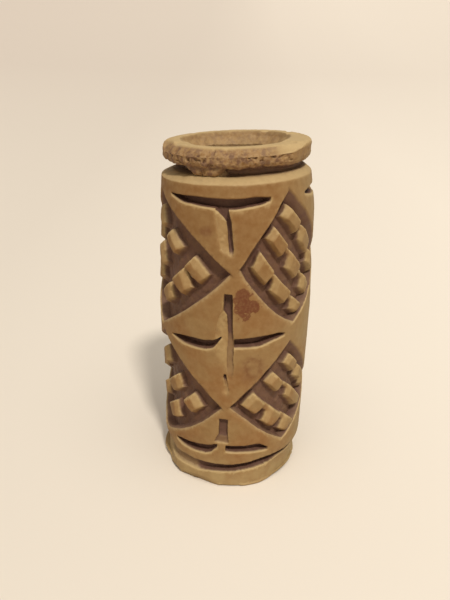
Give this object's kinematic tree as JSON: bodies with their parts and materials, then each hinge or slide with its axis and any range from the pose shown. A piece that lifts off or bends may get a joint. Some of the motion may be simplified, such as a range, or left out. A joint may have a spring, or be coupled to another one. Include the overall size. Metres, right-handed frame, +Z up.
{
  "type": "cylinder seal",
  "caption": "Hollow clay cylinder seal with a wide bore, a collar and rim, and a carved outside of smooth diamond panels between sunken pockets of raised studs.",
  "frame": {"origin": "middle of the box round the seal, on the surface it stands on", "axes": "+Z up along the bore, the side with the deepest-cut front column towards -Y"},
  "size_m": [0.0361, 0.0362, 0.0814],
  "materials": {
    "fired_clay": "matt tan fired clay, burnished on the raised faces, browner and dirtier in the cuts"
  },
  "bodies": {
    "root": {"cylinder_seal": "fired_clay"}
  },
  "joints": []
}
